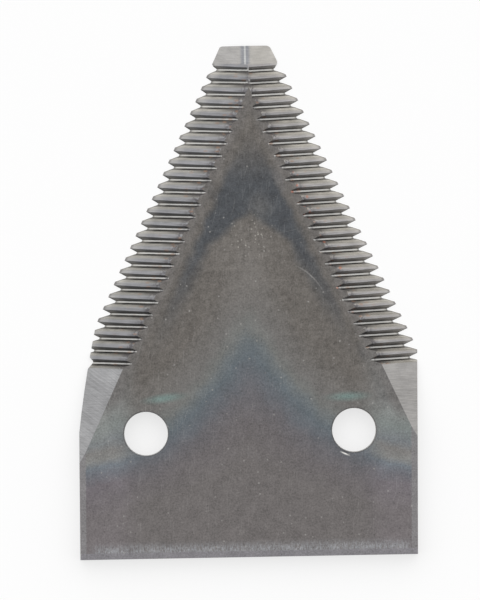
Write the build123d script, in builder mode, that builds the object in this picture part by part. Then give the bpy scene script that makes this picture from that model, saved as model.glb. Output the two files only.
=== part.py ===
"""Serrated knife section: one steel plate that bolts to a reciprocating cutter bar.

The plate lies on its flat back in the XY plane, with its nose towards +Y and its ground
bevels facing up. The origin is on the back face, midway between the two bolt holes.
Lengths are in millimetres and angles in degrees.
"""

from build123d import *
from math import cos, radians, sin, tan
import os

# Plate, with heights measured from the line through the bolt holes
thickness = 4.0
nose_end = 92.8
base_depth = 30.1
left_reach = 41.05  # from the origin out to the left side, on the bolt hole line
right_reach = 40.3
left_side_lean = 0.5  # the sides were sheared a little off square, so they lean
right_side_lean = 0.9
rim_width = 1.5  # slight slope where the base's top face rolls over its rear and side edges
rim_drop = 0.12

# Bolt holes
hole_spacing = 50.0
hole_diameter = 10.5
hole_edge_radius = 0.12

# Ground bevels, which meet the back in the two cutting edges
left_edge_reach = 5.5  # from the long axis out to a cutting edge, at the end of the nose
right_edge_reach = 6.95
left_edge_lean = 25.1  # of a cutting edge from the long axis
right_edge_lean = 24.6
left_bevel_angle = 21.2  # between a bevel and the flat back
right_bevel_angle = 23.1
grinding_allowance = 0.12  # what the blank's tapered sides lose to the bevels

# Blunt nose, with rounded corners and cheeks
nose_shift = 0.35  # the nose sits this far to the right of the long axis
nose_width = 12.0
nose_corner_radius = 1.3
cheek_width = 15.95
cheek_drop = 4.1  # end of the nose down to its widest place
cheek_radius = 1.1
neck_width = 14.2  # level with the first groove

# Grooves, sized in a section square to them
groove_count = 25  # on each side
groove_pitch = 3.0
left_depth_at_nose = 0.58  # of the first groove, at the cutting edge
left_depth_at_shoulder = 0.84  # of the last groove, at the cutting edge
right_depth_at_nose = 0.84
right_depth_at_shoulder = 1.03
left_groove_rise = 1.45  # a groove gets shallower inwards, by this angle to its bevel
right_groove_rise = 1.05
groove_droop = 2.7  # seen from above, a groove falls this much towards the middle
left_first_drop = 5.48  # end of the nose down to the first groove, along the plate
right_first_drop = 5.57
groove_floor_width = 0.4
left_crest_width = 0.8  # flat top that is left on a ridge
right_crest_width = 0.62
ridge_foot_width = 0.32  # short steep foot of the flank that faces the nose
ridge_foot_share = 0.34  # of the groove's depth
rear_flank_width = 0.8  # flank that faces the base
web_width = 0.5  # left standing between the two sides' grooves below the nose

# Left shoulder, ground back in a flat curve, with a notch where the last groove ends
relief_top = 27.6
relief_foot = 0.5
relief_edge_margin = 0.25  # the curve starts this far outside the cutting edge
relief_bow = 0.38
notch_depth = 0.62  # measured inwards from the curve's chord
notch_flare = 1.15  # half of what a notch widens by, for each unit of its depth
notch_reach = 2.5  # how far a notch is cut outwards from its floor

# How far the cutting tools reach past the plate, and the groove section past the bevel
clearance = 5.0
flank_overrun = 0.45

left, right = -1, 1
edge_reaches = {left: left_edge_reach, right: right_edge_reach}
edge_leans = {left: left_edge_lean, right: right_edge_lean}
bevel_angles = {left: left_bevel_angle, right: right_bevel_angle}
first_drops = {left: left_first_drop, right: right_first_drop}
groove_depths = {
    left: (left_depth_at_nose, left_depth_at_shoulder),
    right: (right_depth_at_nose, right_depth_at_shoulder),
}
groove_rises = {left: left_groove_rise, right: right_groove_rise}
crest_widths = {left: left_crest_width, right: right_crest_width}
plate_width = left_reach + right_reach


def edge_point(side, height, allowance=0):
    """Point of a cutting edge at a height above the bolt hole line, or just outside it."""
    slope = tan(radians(edge_leans[side]))
    reach = edge_reaches[side] + (nose_end - height) * slope + allowance
    return Vector(side * reach, height, 0)


def bevel_normal(side):
    """Unit vector square to a bevel, leaning outwards over its cutting edge."""
    flat_normal = Vector(side, 0, 0).rotate(Axis.Z, side * edge_leans[side])
    angle = radians(bevel_angles[side])
    return flat_normal * sin(angle) + Vector(0, 0, cos(angle))


def groove_direction(side):
    """Direction of the ridges' crests, inwards along the bevel, one unit long in plan."""
    rise = tan(radians(bevel_angles[side])) * cos(radians(edge_leans[side] - groove_droop))
    return Vector(-side, 0, rise).rotate(Axis.Z, side * groove_droop)


def groove_plane(side):
    """Section plane square to the grooves' floors, at the web, starting at the first groove.

    Its x axis steps from groove to groove towards the base, and its y axis leaves the bevel.
    """
    first = edge_point(side, nose_end - first_drops[side])
    other = edge_point(-side, nose_end - first_drops[side])
    own_rise = tan(radians(bevel_angles[side]))
    other_rise = tan(radians(bevel_angles[-side]))
    to_middle = (first - other).length * other_rise / (own_rise + other_rise)
    inwards = (to_middle - web_width / 2) / cos(radians(groove_droop))
    across = bevel_normal(side).cross(groove_direction(side)) * side
    rise = radians(groove_rises[side])
    floor_normal = bevel_normal(side) * cos(rise) - groove_direction(side).normalized() * sin(rise)
    return Plane(
        origin=first + groove_direction(side) * inwards,
        x_dir=across,
        z_dir=across.cross(floor_normal),
    )


def groove_lift(side, number):
    """Height that a groove's section gains over the bevel, from the cutting edge to the web."""
    at_web = groove_plane(side).from_local_coords((number * groove_pitch, 0, 0))
    length = at_web.Z / groove_direction(side).normalized().Z
    return length * tan(radians(groove_rises[side]))


def groove_section(side, number):
    """Section of a groove, counted from the nose. Its flanks go on past the bevel to cut clear."""
    at_nose, at_shoulder = groove_depths[side]
    depth = at_nose + (at_shoulder - at_nose) * number / (groove_count - 1)
    rear_top = Vector(-groove_floor_width / 2 - rear_flank_width, 0)
    floor_rear = Vector(-groove_floor_width / 2, -depth)
    floor_front = Vector(groove_floor_width / 2, -depth)
    foot_top = floor_front + Vector(ridge_foot_width, depth * ridge_foot_share)
    crest_start = Vector(rear_top.X + groove_pitch - crest_widths[side], 0)
    rear_rise = (rear_top - floor_rear).normalized()
    front_rise = (crest_start - foot_top).normalized()
    with BuildSketch() as section:
        with BuildLine():
            Polyline(
                floor_rear,
                floor_front,
                foot_top,
                crest_start + front_rise * (flank_overrun / front_rise.Y),
                rear_top + rear_rise * (flank_overrun / rear_rise.Y),
                close=True,
            )
        make_face()
    return Pos(number * groove_pitch, groove_lift(side, number)) * section.sketch


# Relief notch, with the middle of its floor at the origin, flaring out to the left
with BuildSketch() as notch:
    with BuildLine():
        mouth = groove_floor_width / 2 + notch_reach * notch_flare
        Polyline(
            (0, -groove_floor_width / 2),
            (0, groove_floor_width / 2),
            (-notch_reach, mouth),
            (-notch_reach, -mouth),
            close=True,
        )
    make_face()

# Corners of the blank: a sheared base, a tapered blade and the curved left shoulder
base_left = Vector(-left_reach - base_depth * tan(radians(left_side_lean)), -base_depth)
base_right = Vector(right_reach - base_depth * tan(radians(right_side_lean)), -base_depth)
relief_start = Vector(-left_reach, relief_foot)
relief_end = edge_point(left, relief_top, relief_edge_margin)
right_slopes = tan(radians(right_edge_lean)) + tan(radians(right_side_lean))
raw_edge_at_origin = edge_point(right, 0, grinding_allowance)
shoulder_height = (raw_edge_at_origin.X - right_reach) / right_slopes
right_shoulder = edge_point(right, shoulder_height, grinding_allowance)


def nose_side(side):
    """Outline points of one side of the nose, from its end down to the blade's raw side."""
    neck_height = nose_end - first_drops[side]
    return [
        Vector(nose_shift + side * nose_width / 2, nose_end),
        Vector(nose_shift + side * cheek_width / 2, nose_end - cheek_drop),
        Vector(nose_shift + side * neck_width / 2, neck_height),
        edge_point(side, neck_height - groove_pitch / 2, grinding_allowance),
    ]


def notch_floor():
    """Middle of the relief notch's floor, in line with the left side's last groove."""
    last = groove_count - 1
    web_end = groove_plane(left).from_local_coords((last * groove_pitch, 0, 0))
    height = web_end.Y + (web_end.X + left_reach) * tan(radians(groove_droop))
    share = (height - relief_foot) / (relief_top - relief_foot)
    return relief_start + (relief_end - relief_start) * share + Vector(notch_depth, 0)


with BuildPart() as knife_section:
    with BuildSketch() as outline:
        with BuildLine():
            Polyline(
                relief_start,
                base_left,
                base_right,
                right_shoulder,
                *reversed(nose_side(right)),
                *nose_side(left),
                relief_end,
            )
            SagittaArc(relief_end, relief_start, -relief_bow)
        make_face()
        fillet(outline.vertices().group_by(Axis.Y)[-1], nose_corner_radius)
        fillet(outline.vertices().group_by(Axis.Y)[-3], cheek_radius)
    extrude(amount=thickness)

    # Rolled-over rim of the base's top face
    top = knife_section.faces().sort_by(Axis.Z)[-1]
    rear, *sides = top.edges().sort_by(Axis.Y)[:3]
    chamfer([rear, *sides], rim_width, rim_drop, reference=top)

    # Bolt holes
    with Locations((-hole_spacing / 2, 0, thickness), (hole_spacing / 2, 0, thickness)):
        Hole(hole_diameter / 2)
    hole_rims = knife_section.faces().sort_by(Axis.Z)[-1].inner_wires().edges()
    fillet(hole_rims, hole_edge_radius)

    # Bevels, then the grooves in them
    for side in (left, right):
        edge = edge_point(side, nose_end)
        split(bisect_by=Plane(edge, z_dir=bevel_normal(side)), keep=Keep.BOTTOM)
    for side in (left, right):
        with BuildSketch(groove_plane(side)):
            for number in range(groove_count):
                add(groove_section(side, number))
        extrude(amount=-side * (plate_width + clearance), mode=Mode.SUBTRACT)

    # Relief notch at the end of the left side's last groove
    with BuildSketch():
        with Locations(notch_floor()):
            add(notch.sketch)
    extrude(amount=thickness, mode=Mode.SUBTRACT)

knife_section.part.label = "knife_section"
os.makedirs("parts", exist_ok=True)
export_step(knife_section.part, "parts/knife_section.step")
print("solids", len(knife_section.solids()), "volume", round(knife_section.part.volume))
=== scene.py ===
"""Looks for the serrated knife section: worn heat-tinted steel, floor, light and camera.

Metres everywhere, except inside the steel material, which works in millimetres.
"""

import math

import bpy
from mathutils import Matrix, Vector

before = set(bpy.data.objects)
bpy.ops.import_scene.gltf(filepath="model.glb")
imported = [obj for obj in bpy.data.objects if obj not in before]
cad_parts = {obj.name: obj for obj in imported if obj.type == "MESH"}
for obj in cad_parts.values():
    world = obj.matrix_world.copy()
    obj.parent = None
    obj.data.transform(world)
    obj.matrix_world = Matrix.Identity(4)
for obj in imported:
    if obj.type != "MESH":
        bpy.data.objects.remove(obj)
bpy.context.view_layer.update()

# Photograph's framing: millimetres a pixel, the origin's place in the frame, and the plate's roll
IMAGE_WIDTH, IMAGE_HEIGHT = 480, 600
MM_PER_PIXEL = 0.2405
ORIGIN_PIXEL = (250.0, 431.7)
ROLL_DEG = 1.061
LENS_MM, SENSOR_MM = 600.0, 36.0
TOP_FACE_Z = 0.004

# Bevels and grooves, as in the part and in millimetres, left then right
NOSE_END = 92.8
EDGE_REACH = (5.5, 6.95)
EDGE_LEAN = (25.1, 24.6)
BEVEL_ANGLE = (21.2, 23.1)
GROOVE_COUNT = 25
GROOVE_PITCH = 3.0
GROOVE_DROOP = 2.7
FIRST_DROP = (5.48, 5.57)
REAR_EDGE = -30.1
HOLE_RADIUS = 5.25


def linear(red, green, blue):
    """A colour given in 0 to 255 display values, as a linear RGBA tuple."""
    def curve(value):
        value /= 255
        return value / 12.92 if value <= 0.04045 else ((value + 0.055) / 1.055) ** 2.4
    return (curve(red), curve(green), curve(blue), 1.0)


class Graph:
    """Short ways to build a shader node tree. Values may be numbers, tuples or sockets."""

    def __init__(self, tree):
        self.tree = tree
        tree.nodes.clear()

    def node(self, kind, inputs=(), **settings):
        made = self.tree.nodes.new(kind)
        for name, value in settings.items():
            setattr(made, name, value)
        for key, value in dict(inputs).items():
            self.feed(made.inputs[key], value)
        return made

    def feed(self, socket, value):
        if isinstance(value, bpy.types.NodeSocket):
            self.tree.links.new(value, socket)
        else:
            socket.default_value = value

    def calc(self, operation, a, b=0.0, c=0.0, clamp=False):
        made = self.node("ShaderNodeMath", operation=operation, use_clamp=clamp)
        for socket, value in zip(made.inputs, (a, b, c)):
            self.feed(socket, value)
        return made.outputs[0]

    def vector(self, operation, a, b=(0.0, 0.0, 0.0)):
        made = self.node("ShaderNodeVectorMath", {0: a, 1: b}, operation=operation)
        return made.outputs["Value" if operation == "DOT_PRODUCT" else "Vector"]

    def times(self, *values):
        total = values[0]
        for value in values[1:]:
            total = self.calc("MULTIPLY", total, value)
        return total

    def step(self, value, low, high, start=0.0, end=1.0):
        """Smooth step of value from low to high, giving start to end. Low may be above high."""
        if low > high:
            low, high, start, end = high, low, end, start
        inputs = {"Value": value, "From Min": low, "From Max": high, "To Min": start, "To Max": end}
        made = self.node("ShaderNodeMapRange", inputs, interpolation_type="SMOOTHSTEP")
        return made.outputs["Result"]

    def noise(self, place, scale, detail=2.0, roughness=0.5, distortion=0.0):
        inputs = {"Vector": place, "Scale": scale, "Detail": detail, "Roughness": roughness,
                  "Distortion": distortion}
        return self.node("ShaderNodeTexNoise", inputs).outputs["Fac"]

    def mix(self, factor, a, b, blend_type="MIX"):
        made = self.node("ShaderNodeMix", data_type="RGBA", blend_type=blend_type)
        for index, value in ((0, factor), (6, a), (7, b)):
            self.feed(made.inputs[index], value)
        return made.outputs[2]

    def warp(self, place, shift=(0.0, 0.0, 0.0), scale=(1.0, 1.0, 1.0), turn=0.0):
        inputs = {"Vector": place, "Location": shift, "Rotation": (0.0, 0.0, turn), "Scale": scale}
        return self.node("ShaderNodeMapping", inputs, vector_type="TEXTURE").outputs["Vector"]


def new_material(name):
    material = bpy.data.materials.new(name)
    material.use_nodes = True
    return material, Graph(material.node_tree)


def bevel_vector(side):
    """Unit normal of a bevel plane, for side 0 on the left or 1 on the right."""
    lean, angle = math.radians(EDGE_LEAN[side]), math.radians(BEVEL_ANGLE[side])
    sign = -1 if side == 0 else 1
    return Vector((sign * math.cos(lean) * math.sin(angle), math.sin(lean) * math.sin(angle),
                   math.cos(angle)))


def edge_point(side, drop):
    """Point of a cutting edge, a drop below the end of the nose, in millimetres."""
    reach = EDGE_REACH[side] + drop * math.tan(math.radians(EDGE_LEAN[side]))
    return Vector(((-1 if side == 0 else 1) * reach, NOSE_END - drop, 0))


def groove_vector(side):
    """Unit vector along a side's grooves, inwards and up the bevel."""
    sign = -1 if side == 0 else 1
    droop = math.radians(GROOVE_DROOP)
    rise = math.tan(math.radians(BEVEL_ANGLE[side]))
    rise *= math.cos(math.radians(EDGE_LEAN[side] - GROOVE_DROOP))
    return Vector((-sign * math.cos(droop), -math.sin(droop), rise)).normalized()


def step_vector(side):
    """Unit vector in the bevel from groove to groove, towards the base."""
    sign = -1 if side == 0 else 1
    return bevel_vector(side).cross(groove_vector(side)) * sign


class Steel:
    """The plate's one material. Its places are in millimetres, in the part's own frame."""

    def __init__(self):
        self.material, self.g = new_material("worn_steel")
        g = self.g
        coordinates = g.node("ShaderNodeTexCoord")
        self.place = g.vector("MULTIPLY", coordinates.outputs["Object"], (1000.0, 1000.0, 1000.0))
        self.x, self.y, self.z = self.axes(self.place)
        geometry = g.node("ShaderNodeNewGeometry")
        self.normal_z = self.axes(geometry.outputs["True Normal"])[2]
        heights, steps, runs = [], [], []
        for side in (0, 1):
            across, along = bevel_vector(side), groove_vector(side)
            first = edge_point(side, FIRST_DROP[side])
            heights.append(self.along(across, first))
            steps.append(g.calc("DIVIDE", self.along(step_vector(side), first), GROOVE_PITCH))
            runs.append(self.along(along, first))
        self.on_right = g.calc("GREATER_THAN", heights[1], heights[0])
        insets = [g.times(height, -1 / math.sin(math.radians(BEVEL_ANGLE[side])))
                  for side, height in enumerate(heights)]
        self.inset = g.calc("MINIMUM", insets[0], insets[1])
        self.steps = self.pick(steps[0], steps[1])
        self.run = self.pick(runs[0], runs[1])

    def axes(self, vector):
        outputs = self.g.node("ShaderNodeSeparateXYZ", {0: vector}).outputs
        return outputs["X"], outputs["Y"], outputs["Z"]

    def along(self, direction, start):
        """Distance from a start point along a fixed direction."""
        dot = self.g.vector("DOT_PRODUCT", self.place, tuple(direction))
        return self.g.calc("SUBTRACT", dot, direction.dot(start))

    def pick(self, left, right):
        """One of two values, by the side that a place belongs to."""
        inputs = {0: self.on_right, 2: left, 3: right}
        return self.g.node("ShaderNodeMix", inputs, data_type="FLOAT").outputs[0]

    def blob(self, centre, size, turn=0.0):
        """Soft spot: 1 at its centre and 0 outside its half sizes, turned by an angle."""
        g = self.g
        local = g.warp(self.place, (*centre, 0.0), (*size, 1.0e6), math.radians(turn))
        length = g.node("ShaderNodeVectorMath", {0: local}, operation="LENGTH").outputs["Value"]
        return g.step(length, 1.0, 0.0)

    def flecks(self, place, scale, size, share, seed):
        """Small round spots, on the given share of the cells of a random pattern."""
        g = self.g
        moved = g.vector("ADD", place, (seed * 17.3, seed * 9.1, seed * 4.7))
        cells = g.node("ShaderNodeTexVoronoi", {"Vector": moved, "Scale": scale})
        chosen = g.calc("LESS_THAN", self.axes(cells.outputs["Color"])[0], share)
        return g.times(g.step(cells.outputs["Distance"], size, size * 0.4), chosen)

    def hairlines(self, turn, length, width, cut, seed):
        """Fine straight scratches: stretched noise above a cut, turned by an angle."""
        g = self.g
        local = g.warp(self.place, (seed * 5.3, seed * 3.1, 0.0), (length, width, 1.0e3),
                       math.radians(turn))
        return g.step(g.noise(local, 1.0, 1.0, 0.4), cut, cut + 0.09)

    def ramp(self, value, low, high, stops):
        """Colour ramp over value from low to high. Stops are (value, colour) pairs."""
        g = self.g
        share = g.calc("DIVIDE", g.calc("SUBTRACT", value, low), high - low, clamp=True)
        made = g.node("ShaderNodeValToRGB", {0: share})
        elements = made.color_ramp.elements
        elements.remove(elements[1])
        elements[0].color = linear(*stops[0][1])
        for place, colour in stops[1:]:
            elements.new((place - low) / (high - low)).color = linear(*colour)
        return made.outputs["Color"]

    def temper_arch(self, drift):
        """Distance from the middle of the blue arch, towards the nose."""
        g = self.g
        spread = g.calc("SQRT", g.calc("MULTIPLY_ADD", self.x, self.x, 9.0))
        fall = g.calc("EXPONENT", g.times(spread, -1 / 17.0))
        arch = g.calc("MULTIPLY_ADD", fall, 33.0, -12.0)
        slope = g.times(fall, 33.0 / 17.0)
        stretch = g.calc("SQRT", g.calc("MULTIPLY_ADD", slope, slope, 1.0))
        band = g.calc("DIVIDE", g.calc("SUBTRACT", self.y, arch), stretch)
        band = g.calc("MULTIPLY_ADD", g.step(self.x, -24.0, -37.0), -0.7, band)
        return g.calc("MULTIPLY_ADD", drift, 3.5, band)

    def flat_colour(self):
        """Heat-tinted face: an arch of temper colours, and a dark band inside the bevels."""
        g = self.g
        drift = g.calc("SUBTRACT", g.noise(self.place, 0.2, 3.0, 0.6), 0.5)
        band = self.temper_arch(drift)
        middle = self.ramp(band, -12, 16, [
            (-12, (112, 108, 107)), (-7, (109, 105, 106)), (-3.5, (106, 104, 107)),
            (-1, (103, 106, 111)), (1.5, (101, 108, 113)), (3.5, (109, 114, 116)),
            (5.5, (115, 116, 114)), (8, (114, 112, 110)), (12, (111, 108, 105)),
            (16, (107, 103, 99))])
        outer = self.ramp(band, -12, 14, [
            (-12, (118, 113, 114)), (-5, (116, 111, 115)), (-2, (114, 116, 122)),
            (-0.5, (115, 121, 127)), (1, (132, 132, 130)), (3, (125, 123, 121)),
            (5, (121, 125, 128)), (8, (127, 133, 131)), (11, (131, 134, 132)),
            (14, (118, 118, 117))])
        aside = g.step(g.calc("ABSOLUTE", self.x), 25.0, 33.5)
        colour = g.mix(aside, middle, outer)
        hot = g.step(band, 8.0, 15.0)
        # Painted sheen: a lighter patch in the middle of the face
        painted_sheen = g.times(self.blob((-0.5, 39.0), (12.0, 17.0)), 0.6)
        colour = g.mix(painted_sheen, colour, linear(123, 119, 115))
        # Dark band inside the bevels, which fills the whole width towards the nose
        shifted = g.calc("MULTIPLY_ADD", drift, 3.5, self.inset)
        above = g.calc("MAXIMUM", g.calc("SUBTRACT", self.y, 45.0), 0.0)
        reach = g.calc("MULTIPLY_ADD", above, 0.75, 6.4)
        past = g.step(g.calc("SUBTRACT", shifted, reach), 2.2, -1.4)
        dark = g.times(g.step(shifted, 2.2, 5.0), past, g.step(self.y, 14.0, 50.0),
                       g.step(self.y, 74.0, 58.0, 0.0, 0.95))
        colour = g.mix(g.times(g.step(self.inset, 3.4, 1.0), hot, 0.7), colour,
                       linear(113, 110, 108))
        colour = g.mix(dark, colour, linear(80, 83, 87))
        smudges = (((9.0, 51.0), (3.2, 5.5), -25.0, 0.5), ((-7.5, 57.0), (2.5, 5.0), 25.0, 0.3),
                   ((20.5, 31.0), (2.0, 9.0), 25.0, 0.3), ((13.5, 43.0), (2.2, 6.0), 25.0, 0.3),
                   ((27.3, 18.5), (1.6, 4.0), 25.0, 0.35), ((-8.5, 52.5), (2.0, 4.0), 25.0, -0.25))
        for centre, size, turn, amount in smudges:
            colour = g.mix(g.times(self.blob(centre, size, turn), amount), colour,
                           linear(70, 72, 76))
        patches = (((3.2, 54.0), (4.5, 5.5), 0.0, 0.6, (106, 105, 104)),
                   ((8.1, 60.5), (1.8, 6.0), 24.6, 0.7, (113, 111, 111)),
                   ((-36.5, 1.5), (7.0, 9.5), 0.0, 0.5, (144, 146, 144)))
        for centre, size, turn, amount, tint in patches:
            colour = g.mix(g.times(self.blob(centre, size, turn), amount), colour, linear(*tint))
        for centre, turn in (((-20.5, 8.4), 7.0), ((23.6, 8.1), 2.0)):
            streak = self.blob(centre, (7.0, 1.6), turn)
            colour = g.mix(g.times(streak, 0.8), colour, linear(118, 139, 135))
        return colour, hot

    def rim_colour(self, colour):
        """Scuffed line where the rim rolls over, with a paler slope outside it."""
        g = self.g
        from_rear = g.calc("SUBTRACT", self.y, REAR_EDGE)
        worn = g.noise(g.warp(self.place, scale=(0.45, 1.3, 1.0e3)), 1.0, 3.0, 0.7)
        inside = g.step(g.calc("ABSOLUTE", self.x), 39.5, 36.5)
        line = g.times(g.step(from_rear, 1.25, 1.5), g.step(from_rear, 4.5, 1.7), inside)
        colour = g.mix(g.times(line, g.step(worn, 0.3, 0.66)), colour, linear(149, 150, 153))
        slope = g.times(g.step(self.normal_z, 0.9985, 0.9975), g.step(from_rear, 1.6, 1.4))
        colour = g.mix(g.times(slope, 0.9), colour, linear(140, 138, 142))
        sides = g.times(g.step(self.normal_z, 0.9985, 0.9975), g.step(from_rear, 1.4, 1.6))
        return g.mix(g.times(sides, 0.9), colour, linear(131, 129, 130))

    def marks(self, colour):
        """Dents and scratches: a nick by the right hole in painted highlight and shade, a curved
        scratch and bright flecks.
        """
        g = self.g
        # The nick: a painted highlight, and painted shade just beside it
        nick = self.blob((22.72, -5.62), (1.7, 0.3), -24.7)
        colour = g.mix(nick, colour, linear(235, 233, 228))
        shade = self.blob((22.85, -5.3), (1.5, 0.3), -24.7)
        colour = g.mix(g.times(shade, 0.6), colour, linear(70, 67, 66))
        centred = g.vector("SUBTRACT", self.place, (5.7, 27.1, 0.0))
        flat = g.vector("MULTIPLY", centred, (1.0, 1.0, 0.0))
        radius = g.node("ShaderNodeVectorMath", {0: flat}, operation="LENGTH").outputs["Value"]
        arc = g.step(g.calc("ABSOLUTE", g.calc("SUBTRACT", radius, 14.0)), 0.24, 0.08)
        arc = g.times(arc, self.blob((14.9, 36.9), (6.0, 4.0), -44.0), 0.55)
        colour = g.mix(arc, colour, linear(150, 148, 145))
        for side in (-1, 1):
            offset = g.vector("SUBTRACT", self.place, (side * 25.0, 0.0, 0.0))
            level = g.vector("MULTIPLY", offset, (1.0, 1.0, 0.0))
            away = g.node("ShaderNodeVectorMath", {0: level}, operation="LENGTH").outputs["Value"]
            # Painted shade around the rounded edge of each hole
            ring = g.step(away, HOLE_RADIUS + 0.42, HOLE_RADIUS + 0.12)
            colour = g.mix(g.times(ring, 0.6), colour, linear(74, 72, 71))
        cluster = self.blob((1.0, 47.0), (9.5, 9.5))
        bright = self.flecks(self.place, 1.25, 0.34, 0.5, 1)
        colour = g.mix(g.times(bright, g.step(cluster, 0.1, 0.75), 0.7), colour,
                       linear(168, 165, 158))
        sparse = self.flecks(self.place, 0.55, 0.16, 0.35, 2)
        colour = g.mix(g.times(sparse, 0.55), colour, linear(160, 158, 155))
        pits = self.flecks(self.place, 0.8, 0.2, 0.22, 3)
        colour = g.mix(g.times(pits, 0.4), colour, linear(66, 64, 64))
        for turn, seed, amount in ((88.0, 1, 0.12), (74.0, 2, 0.1), (12.0, 3, 0.08)):
            lines = self.hairlines(turn, 6.0, 0.3, 0.64, seed)
            colour = g.mix(g.times(lines, amount), colour, linear(168, 166, 164))
        return colour

    def ridge_colour(self):
        """Ground steel: painted highlight on the groove floors, painted shade at their feet, darker
        towards the middle.
        """
        g = self.g
        streak_place = g.node("ShaderNodeCombineXYZ", {"X": g.times(self.run, 0.28),
                                                       "Y": g.times(self.steps, 14.0)})
        streaks = g.noise(streak_place.outputs[0], 1.0, 3.0, 0.6)
        wobble = g.calc("SUBTRACT", g.noise(self.place, 1.1, 2.0, 0.6), 0.5)
        steps = g.calc("MULTIPLY_ADD", wobble, 0.04, self.steps)
        number = g.calc("ROUND", steps)
        phase = g.calc("SUBTRACT", steps, number)
        # Tones across a groove: painted highlight on its floor, painted shade on the foot past it and
        # low on the rear flank
        left = self.ramp(phase, -0.5, 0.5, [
            (-0.5, (139, 139, 141)), (-0.38, (139, 139, 142)), (-0.31, (144, 144, 147)),
            (-0.26, (134, 134, 137)), (-0.2, (121, 121, 122)), (-0.12, (110, 110, 109)),
            (-0.065, (148, 148, 146)), (-0.03, (186, 185, 183)), (0.02, (172, 171, 168)),
            (0.06, (105, 104, 101)), (0.09, (58, 57, 56)), (0.15, (56, 55, 54)),
            (0.19, (96, 94, 90)), (0.235, (142, 139, 133)), (0.29, (160, 157, 150)),
            (0.38, (144, 142, 137)), (0.5, (139, 139, 141))])
        right = self.ramp(phase, -0.5, 0.5, [
            (-0.5, (156, 153, 150)), (-0.4, (149, 147, 147)), (-0.33, (158, 156, 157)),
            (-0.26, (170, 168, 168)), (-0.19, (160, 158, 158)), (-0.12, (122, 121, 119)),
            (-0.065, (136, 135, 133)), (-0.03, (174, 173, 171)), (0.05, (166, 165, 162)),
            (0.085, (100, 99, 96)), (0.11, (66, 65, 63)), (0.15, (66, 65, 62)),
            (0.19, (118, 115, 110)), (0.24, (172, 168, 160)), (0.32, (172, 168, 159)),
            (0.4, (152, 148, 141)), (0.5, (154, 151, 147))])
        colour = g.mix(self.on_right, left, right)
        # Front flanks darker towards the ridges' inner ends: heat stain and painted shade
        stain_and_shade = g.times(g.step(self.z, 1.7, 3.7), g.step(phase, 0.06, 0.16),
                        g.step(phase, 0.5, 0.26))
        colour = g.mix(g.times(stain_and_shade, 0.85), colour, linear(86, 83, 81))
        # Painted shade on the rear flanks towards the ridges' inner ends
        shade = g.times(g.step(self.z, 2.3, 3.7), g.step(phase, -0.46, -0.36),
                        g.step(phase, -0.12, -0.24))
        colour = g.mix(g.times(shade, 0.55), colour, linear(104, 104, 106))
        # Dark blotches at the top of the bevel, where the ridges end
        blotch = g.noise(self.place, 1.4, 2.0, 0.6)
        end = g.times(g.step(self.z, 3.1, 3.85), g.step(blotch, 0.38, 0.6), 0.8)
        colour = g.mix(end, colour, linear(84, 81, 83))
        # Painted highlight near the cutting edge
        tip_highlight = g.times(g.step(self.z, 1.3, 0.3), 0.35)
        colour = g.mix(tip_highlight, colour, linear(190, 187, 181))
        lip = g.times(g.step(self.z, 0.3, 0.06), 0.55)
        colour = g.mix(lip, colour, linear(96, 93, 90))
        # Ground faces without grooves: the nose with its web, and the two shoulders
        plain = g.mix(self.on_right, linear(147, 147, 148), linear(149, 147, 145))
        on_nose = g.step(self.y, 86.0, 88.0)
        nose = g.mix(g.step(self.x, -3.0, 3.5), linear(164, 162, 160), linear(172, 169, 164))
        from_ridge = g.calc("ABSOLUTE", g.calc("SUBTRACT", self.x, 0.45))
        # Painted shade along both sides of the nose's web, and a painted highlight along its crest
        nose = g.mix(g.step(from_ridge, 1.5, 0.6), nose, linear(142, 143, 147))
        nose = g.mix(g.step(from_ridge, 0.3, 0.1), nose, linear(186, 187, 186))
        plain = g.mix(on_nose, plain, nose)
        slant = g.noise(g.warp(self.place, scale=(7.0, 0.42, 1.0e3), turn=math.radians(-36)),
                        1.0, 3.0, 0.6)
        level = g.noise(g.warp(self.place, scale=(7.0, 0.5, 1.0e3), turn=math.radians(-3)),
                        1.0, 3.0, 0.6)
        lines = g.calc("SUBTRACT", self.pick(slant, level), 0.5)
        contrast = g.times(self.pick(0.8, 0.5), g.step(self.y, 88.0, 60.0, 0.35, 1.0))
        plain = self.scaled(plain, g.calc("MULTIPLY_ADD", lines, contrast, 1.0))
        grooved = g.times(g.step(self.steps, -0.52, -0.46), g.step(self.steps, 24.5, 24.42))
        colour = g.mix(grooved, plain, colour)
        # Shades that differ a little from ridge to ridge and along each of them
        chance = g.node("ShaderNodeTexWhiteNoise", {"W": number}, noise_dimensions="1D")
        lift = g.calc("MULTIPLY_ADD", g.calc("SUBTRACT", chance.outputs["Value"], 0.5), 0.16, 1.0)
        streaked = g.calc("MULTIPLY_ADD", g.calc("SUBTRACT", streaks, 0.5), 0.7, lift)
        colour = self.scaled(colour, streaked)
        rust_place = g.warp(self.place, scale=(1.6, 0.7, 1.0e3))
        rust = g.times(self.flecks(rust_place, 1.0, 0.5, 0.3, 4), g.step(self.z, 1.2, 3.4),
                       grooved)
        colour = g.mix(g.times(rust, 0.4), colour, linear(150, 116, 92))
        spots = g.times(self.flecks(self.place, 0.8, 0.42, 0.45, 5), g.step(self.z, 3.0, 3.6),
                        self.on_right, g.step(self.y, 25.0, 32.0), g.step(self.y, 68.0, 60.0))
        return g.mix(g.times(spots, 0.6), colour, linear(172, 108, 86))

    def scaled(self, colour, factor):
        made = self.g.node("ShaderNodeVectorMath", {0: colour}, operation="SCALE")
        self.g.feed(made.inputs["Scale"], factor)
        return made.outputs["Vector"]

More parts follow.
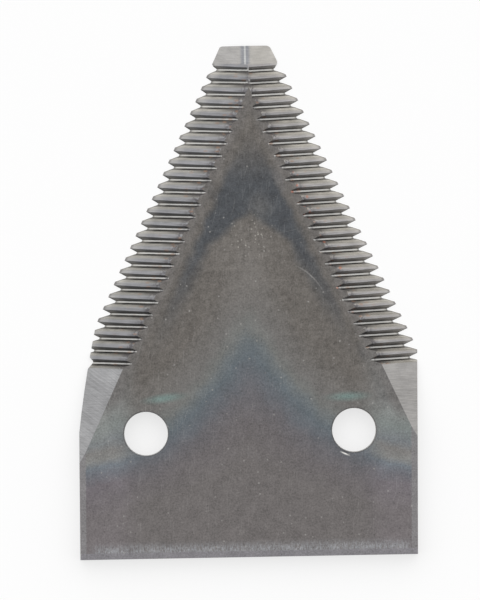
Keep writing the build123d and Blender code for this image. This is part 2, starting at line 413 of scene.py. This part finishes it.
    def build(self):
        g = self.g
        flat = g.step(self.normal_z, 0.985, 0.992)
        face, hot = self.flat_colour()
        face = self.marks(self.rim_colour(face))
        colour = g.mix(flat, self.ridge_colour(), face)
        side_wall = g.step(g.calc("ABSOLUTE", self.normal_z), 0.3, 0.15)
        wall_place = g.warp(self.place, scale=(0.3, 0.3, 3.0))
        wall_grain = g.noise(wall_place, 1.0, 3.0, 0.6)
        wall = g.mix(wall_grain, linear(92, 89, 87), linear(150, 147, 144))
        colour = g.mix(side_wall, colour, wall)
        underside = g.step(self.normal_z, -0.5, -0.8)
        colour = g.mix(underside, colour, linear(112, 109, 107))
        # Fine mottle, and soft smudges where the steel was hot
        grain = g.noise(self.place, 2.3, 4.0, 0.75)
        patches = g.noise(self.place, 0.35, 2.0, 0.5)
        smudges = g.noise(self.place, 0.7, 4.0, 0.65)
        amount = g.calc("MAXIMUM", g.times(flat, 0.75), 0.2)
        shade = g.times(g.calc("SUBTRACT", grain, 0.5), amount)
        shade = g.calc("MULTIPLY_ADD", g.calc("SUBTRACT", patches, 0.5), 0.2, shade)
        smudged = g.times(g.calc("SUBTRACT", smudges, 0.5), hot, flat)
        shade = g.calc("MULTIPLY_ADD", smudged, 0.32, shade)
        colour = self.scaled(colour, g.calc("MULTIPLY_ADD", shade, 2.0, 1.0))
        rough = g.calc("MULTIPLY_ADD", g.calc("SUBTRACT", grain, 0.5), 0.3, 0.42)
        bump = g.node("ShaderNodeBump", {"Height": grain, "Strength": 0.15, "Distance": 0.00003})
        shader = g.node("ShaderNodeBsdfPrincipled", {
            "Base Color": colour, "Metallic": 1.0, "Roughness": rough,
            "Normal": bump.outputs["Normal"]})
        output = g.node("ShaderNodeOutputMaterial")
        g.tree.links.new(shader.outputs[0], output.inputs["Surface"])
        return self.material


def floor_material():
    """Matt white, which the camera and reflections see a little brighter, with shadows kept."""
    material, g = new_material("floor_white")
    rays = g.node("ShaderNodeLightPath").outputs
    seen = g.calc("MAXIMUM", rays["Is Camera Ray"], rays["Is Glossy Ray"])
    paint = g.node("ShaderNodeBsdfDiffuse", {"Color": (0.3, 0.3, 0.3, 1.0)})
    lift = g.node("ShaderNodeEmission", {"Strength": g.times(seen, 0.68)})
    lifted = g.node("ShaderNodeAddShader", {0: paint.outputs[0], 1: lift.outputs[0]})
    clear = g.node("ShaderNodeBsdfTransparent")
    below = g.node("ShaderNodeNewGeometry").outputs["Backfacing"]
    one_sided = g.node("ShaderNodeMixShader", {0: below, 1: lifted.outputs[0], 2: clear.outputs[0]})
    output = g.node("ShaderNodeOutputMaterial")
    g.tree.links.new(one_sided.outputs[0], output.inputs["Surface"])
    return material


def build_floor():
    half = 15.0
    drop = -0.00002
    mesh = bpy.data.meshes.new("floor")
    corners = [(-half, -half, drop), (half, -half, drop), (half, half, drop), (-half, half, drop)]
    mesh.from_pydata(corners, [], [(0, 1, 2, 3)])
    floor = bpy.data.objects.new("floor", mesh)
    bpy.context.scene.collection.objects.link(floor)
    mesh.materials.append(floor_material())


def build_world():
    """Soft studio surround, brighter on the nose's side and dim low on the base's side."""
    world = bpy.data.worlds.new("studio")
    bpy.context.scene.world = world
    world.use_nodes = True
    g = Graph(world.node_tree)
    direction = g.node("ShaderNodeTexCoord").outputs["Generated"]
    axes = g.node("ShaderNodeSeparateXYZ", {0: direction})
    rear_dim = g.step(axes.outputs["Y"], -0.75, 0.0, 0.3, 1.08)
    front_lift = g.step(axes.outputs["Y"], 0.05, 0.75, 0.0, 0.6)
    strength = g.calc("ADD", rear_dim, front_lift)
    background = g.node("ShaderNodeBackground", {"Color": (1.0, 1.0, 1.0, 1.0), "Strength": strength})
    output = g.node("ShaderNodeOutputWorld")
    g.tree.links.new(background.outputs[0], output.inputs["Surface"])


def add_softbox(name, place, aim, width, height, watts):
    """Rectangular lamp at place, facing the point aim."""
    lamp = bpy.data.lights.new(name, "AREA")
    lamp.shape = "RECTANGLE"
    lamp.size, lamp.size_y, lamp.energy = width, height, watts
    softbox = bpy.data.objects.new(name, lamp)
    softbox.location = place
    softbox.rotation_euler = (Vector(aim) - Vector(place)).to_track_quat("-Z", "Y").to_euler()
    softbox.visible_camera = False
    bpy.context.scene.collection.objects.link(softbox)


def build_camera():
    """Looks straight down, framed so that the origin falls on its pixel with the plate's roll."""
    camera_data = bpy.data.cameras.new("camera")
    camera_data.lens, camera_data.sensor_width = LENS_MM, SENSOR_MM
    view_height = IMAGE_HEIGHT * MM_PER_PIXEL / 1000
    distance = view_height * LENS_MM / SENSOR_MM
    roll = math.radians(ROLL_DEG)
    right = Vector((math.cos(roll), -math.sin(roll), 0))
    up = Vector((math.sin(roll), math.cos(roll), 0))
    to_right = (IMAGE_WIDTH / 2 - ORIGIN_PIXEL[0]) * MM_PER_PIXEL / 1000
    to_up = (ORIGIN_PIXEL[1] - IMAGE_HEIGHT / 2) * MM_PER_PIXEL / 1000
    centre = right * to_right + up * to_up + Vector((0, 0, TOP_FACE_Z / 2 + distance))
    camera = bpy.data.objects.new("camera", camera_data)
    camera.matrix_world = Matrix.Translation(centre) @ Matrix.Rotation(-roll, 4, "Z")
    camera_data.clip_end = 30.0
    bpy.context.scene.collection.objects.link(camera)
    bpy.context.scene.camera = camera


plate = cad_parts["knife_section"]
finish = Steel().build()
for slot in plate.material_slots:
    slot.material = finish

build_floor()
build_world()
build_camera()
bpy.context.scene.view_settings.view_transform = "Standard"
